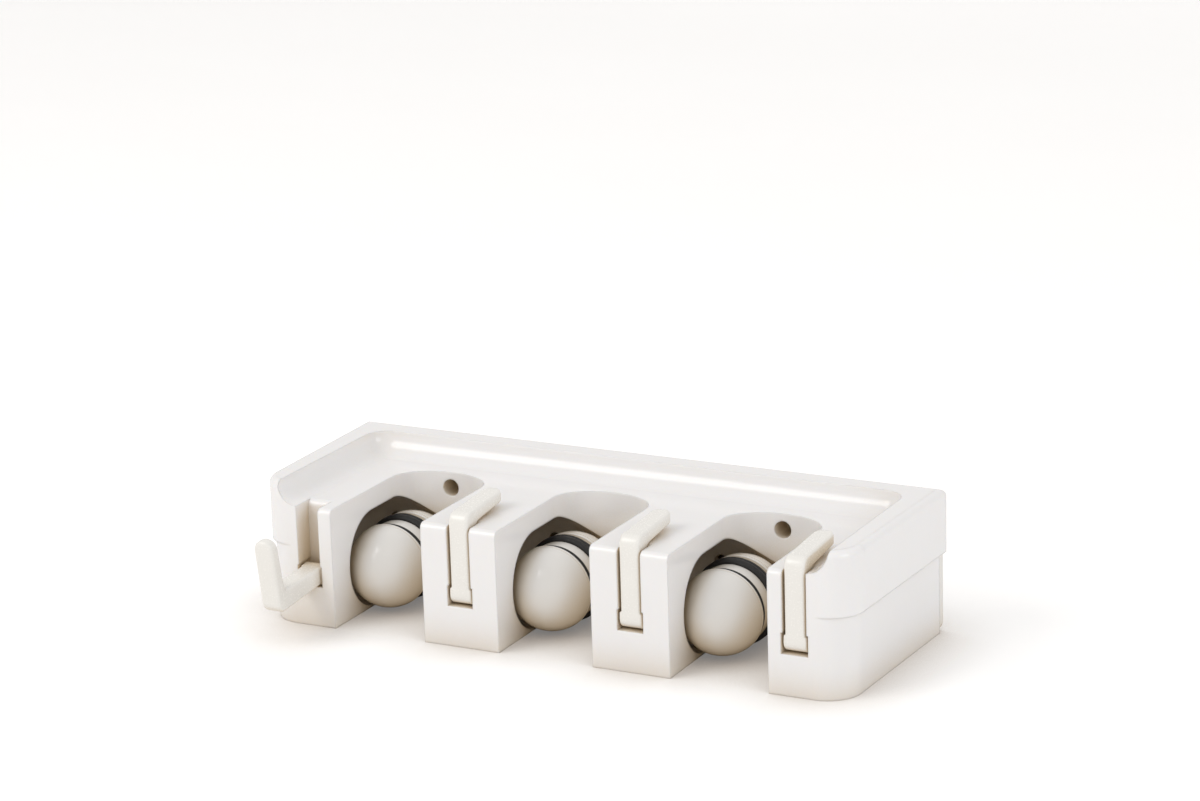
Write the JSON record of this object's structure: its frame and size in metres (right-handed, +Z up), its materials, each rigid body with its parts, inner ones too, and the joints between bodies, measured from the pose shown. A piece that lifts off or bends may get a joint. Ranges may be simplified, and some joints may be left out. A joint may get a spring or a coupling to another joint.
{
  "type": "wall tool holder",
  "caption": "Wall-mounted holder that grips broom and mop handles between rollers and slot sides, with fold-out hooks and a shallow tray on top.",
  "frame": {"origin": "on the wall plane, midway between the two wall screw holes", "axes": "+X to the right along the wall as seen from the front, +Y into the wall, +Z up"},
  "size_m": [0.267, 0.1265, 0.06],
  "materials": {
    "shell_white": "glossy moulded warm white",
    "cover_white": "plain moulded warm white",
    "hook_white": "semi-gloss moulded off-white",
    "roller_grey": "satin moulded warm light grey",
    "ring_rubber": "dull black",
    "axle_steel": "drawn and zinc plated",
    "screw_steel": "zinc plated",
    "shoe_plastic": "plain moulded grey"
  },
  "bodies": {
    "frame": {"housing": "shell_white", "back_cover": "cover_white", "cover_screws": "screw_steel"},
    "carriage_1": {"roller_1_axle": "axle_steel", "roller_1_clip": "axle_steel", "roller_1_shoe": "shoe_plastic"},
    "roller_1": {"roller_1_front_dome": "roller_grey", "roller_1_spool": "roller_grey", "roller_1_rear_dome": "roller_grey", "roller_1_grip_ring": "ring_rubber", "roller_1_thin_ring": "ring_rubber"},
    "carriage_2": {"roller_2_axle": "axle_steel", "roller_2_clip": "axle_steel", "roller_2_shoe": "shoe_plastic"},
    "roller_2": {"roller_2_front_dome": "roller_grey", "roller_2_spool": "roller_grey", "roller_2_rear_dome": "roller_grey", "roller_2_grip_ring": "ring_rubber", "roller_2_thin_ring": "ring_rubber"},
    "carriage_3": {"roller_3_axle": "axle_steel", "roller_3_clip": "axle_steel", "roller_3_shoe": "shoe_plastic"},
    "roller_3": {"roller_3_front_dome": "roller_grey", "roller_3_spool": "roller_grey", "roller_3_rear_dome": "roller_grey", "roller_3_grip_ring": "ring_rubber", "roller_3_thin_ring": "ring_rubber"},
    "hook_1": {"hook_1": "hook_white"},
    "hook_2": {"hook_2": "hook_white"},
    "hook_3": {"hook_3": "hook_white"},
    "hook_4": {"hook_4": "hook_white"}
  },
  "joints": [
    {"name": "roller_1_lift", "type": "slide", "parent": "frame", "child": "carriage_1", "axis": [-0.9397, 0, 0.342], "range_m": [0, 0.019]},
    {"name": "roller_1_spin", "type": "hinge", "parent": "carriage_1", "child": "roller_1", "pos_m": [-0.088, -0.0503, -0.0254], "axis": [0, 1, 0], "continuous": true},
    {"name": "roller_2_lift", "type": "slide", "parent": "frame", "child": "carriage_2", "axis": [-0.9397, 0, 0.342], "range_m": [0, 0.019]},
    {"name": "roller_2_spin", "type": "hinge", "parent": "carriage_2", "child": "roller_2", "pos_m": [-0.012, -0.0503, -0.0254], "axis": [0, 1, 0], "continuous": true},
    {"name": "roller_3_lift", "type": "slide", "parent": "frame", "child": "carriage_3", "axis": [-0.9397, 0, 0.342], "range_m": [0, 0.019]},
    {"name": "roller_3_spin", "type": "hinge", "parent": "carriage_3", "child": "roller_3", "pos_m": [0.064, -0.0503, -0.0254], "axis": [0, 1, 0], "continuous": true},
    {"name": "hook_1_fold", "type": "hinge", "parent": "frame", "child": "hook_1", "pos_m": [-0.1066, -0.0878, -0.022], "axis": [1, 0, 0], "range_deg": [-95, 0]},
    {"name": "hook_2_fold", "type": "hinge", "parent": "frame", "child": "hook_2", "pos_m": [-0.0365, -0.0878, -0.022], "axis": [1, 0, 0], "range_deg": [0, 95]},
    {"name": "hook_3_fold", "type": "hinge", "parent": "frame", "child": "hook_3", "pos_m": [0.0395, -0.0878, -0.022], "axis": [1, 0, 0], "range_deg": [0, 95]},
    {"name": "hook_4_fold", "type": "hinge", "parent": "frame", "child": "hook_4", "pos_m": [0.1096, -0.0878, -0.022], "axis": [1, 0, 0], "range_deg": [0, 95]}
  ]
}
